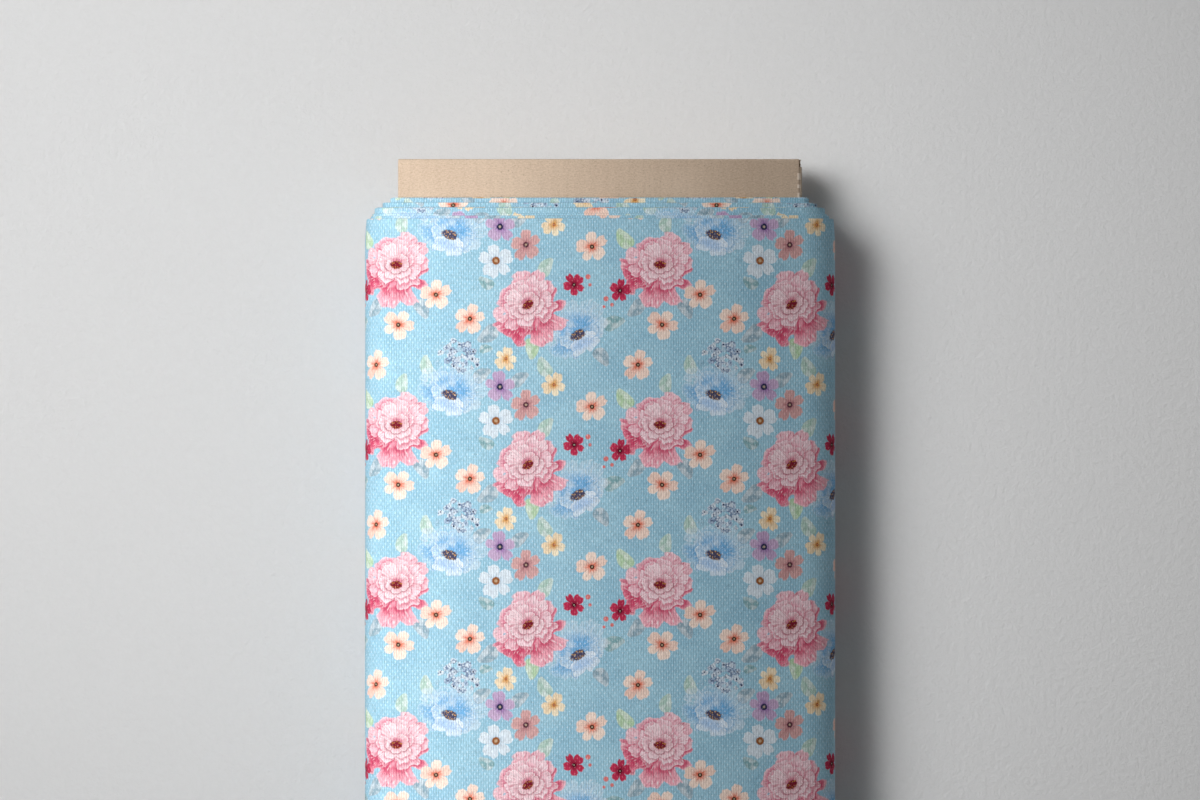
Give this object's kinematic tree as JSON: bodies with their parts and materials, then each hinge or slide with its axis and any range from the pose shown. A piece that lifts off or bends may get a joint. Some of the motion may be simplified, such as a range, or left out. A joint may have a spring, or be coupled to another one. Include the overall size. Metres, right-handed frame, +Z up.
{
  "type": "fabric bolt",
  "caption": "Flat bolt of printed cloth wound double on a hollow corrugated card board, with a loose end that unrolls and end flaps that fold open.",
  "frame": {"origin": "bottom centre of the bolt as it lies on its back, on the surface it lies on", "axes": "+Z up through the bolt's thickness from its back to its front, +Y along the board towards its upper end, +X across the board to the right"},
  "size_m": [0.2366, 0.597, 0.0569],
  "materials": {
    "kraft_card": "matt kraft liner of corrugated card, fine fibres, faint flute lines",
    "inner_card": "matt brown fluting paper",
    "label_paper": "smooth uncoated white paper",
    "tape_paper": "creped buff paper tape",
    "printed_cloth": "plain-weave slubbed cotton, light blue ground with a watercolour flower print"
  },
  "bodies": {
    "roll": {"front_panel": "kraft_card", "back_panel": "kraft_card", "left_wall": "kraft_card", "right_wall": "kraft_card", "seam_flap": "inner_card", "left_spacer": "inner_card", "right_spacer": "inner_card", "starting_tape": "tape_paper", "inner_turns": "printed_cloth", "second_turns": "printed_cloth", "middle_turns": "printed_cloth", "fourth_turns": "printed_cloth", "outer_turn": "printed_cloth"},
    "cloth_end": {"loose_end": "printed_cloth"},
    "top_flap": {"top_end_flap": "kraft_card", "top_tuck_lip": "inner_card"},
    "bottom_flap": {"bottom_end_flap": "kraft_card", "bottom_tuck_lip": "inner_card", "end_label": "label_paper"}
  },
  "joints": [
    {"name": "unroll", "type": "hinge", "parent": "roll", "child": "cloth_end", "pos_m": [0.11775, 0, 0.0286], "axis": [0, 1, 0], "range_deg": [0, 180]},
    {"name": "top_flap_fold", "type": "hinge", "parent": "roll", "child": "top_flap", "pos_m": [0, 0.2985, 0.04005], "axis": [1, 0, 0], "range_deg": [0, 110]},
    {"name": "bottom_flap_fold", "type": "hinge", "parent": "roll", "child": "bottom_flap", "pos_m": [0, -0.2985, 0.04005], "axis": [-1, 0, 0], "range_deg": [0, 110]}
  ]
}
